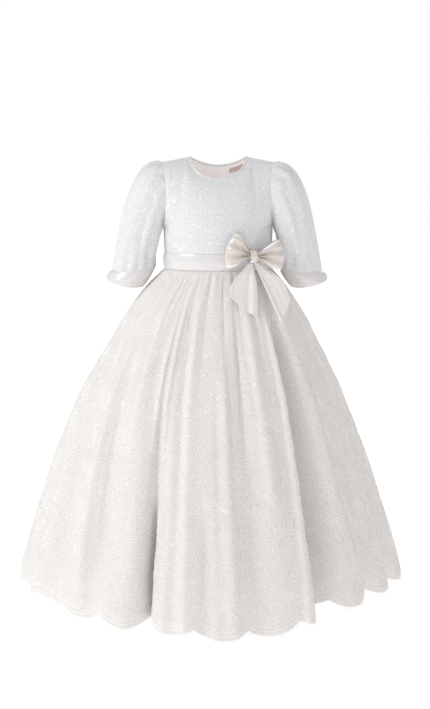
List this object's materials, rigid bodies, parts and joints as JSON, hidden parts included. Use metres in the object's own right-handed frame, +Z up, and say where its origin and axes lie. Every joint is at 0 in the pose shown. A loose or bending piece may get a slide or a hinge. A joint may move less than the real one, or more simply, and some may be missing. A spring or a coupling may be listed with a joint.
{
  "type": "puff sleeve dress",
  "caption": "Girl's lace occasion dress, worn shape: round neck, puff sleeves with band cuffs, satin waistband with bow, full gathered skirt with scalloped hem over an underskirt.",
  "frame": {"origin": "on the dress's centre line at the height of the two neck points, where the wearer's shoulders hold it up", "axes": "+Z up, +X to the viewer's right seen from the front, the front of the dress faces -Y"},
  "size_m": [0.8338, 0.7784, 0.9482],
  "materials": {
    "lace": "ivory corded net lace",
    "satin": "glossy ivory satin",
    "lining": "matt plain lining",
    "underskirt": "soft sheen plain underskirt",
    "label": "woven label"
  },
  "bodies": {
    "root": {"bodice_front": "lace", "bodice_back_left": "lace", "bodice_back_right": "lace", "sleeve_left": "lace", "sleeve_right": "lace", "overskirt_front": "lace", "overskirt_back_left": "lace", "overskirt_back_right": "lace", "neck_binding": "satin", "cuff_left": "satin", "cuff_right": "satin", "waistband": "satin", "bow_loop_left": "satin", "bow_loop_right": "satin", "bow_knot": "satin", "bow_tail_left": "satin", "bow_tail_right": "satin", "lining_back_left": "lining", "lining_back_right": "lining", "underskirt_front": "underskirt", "underskirt_back": "underskirt", "neck_label": "label"}
  },
  "joints": []
}
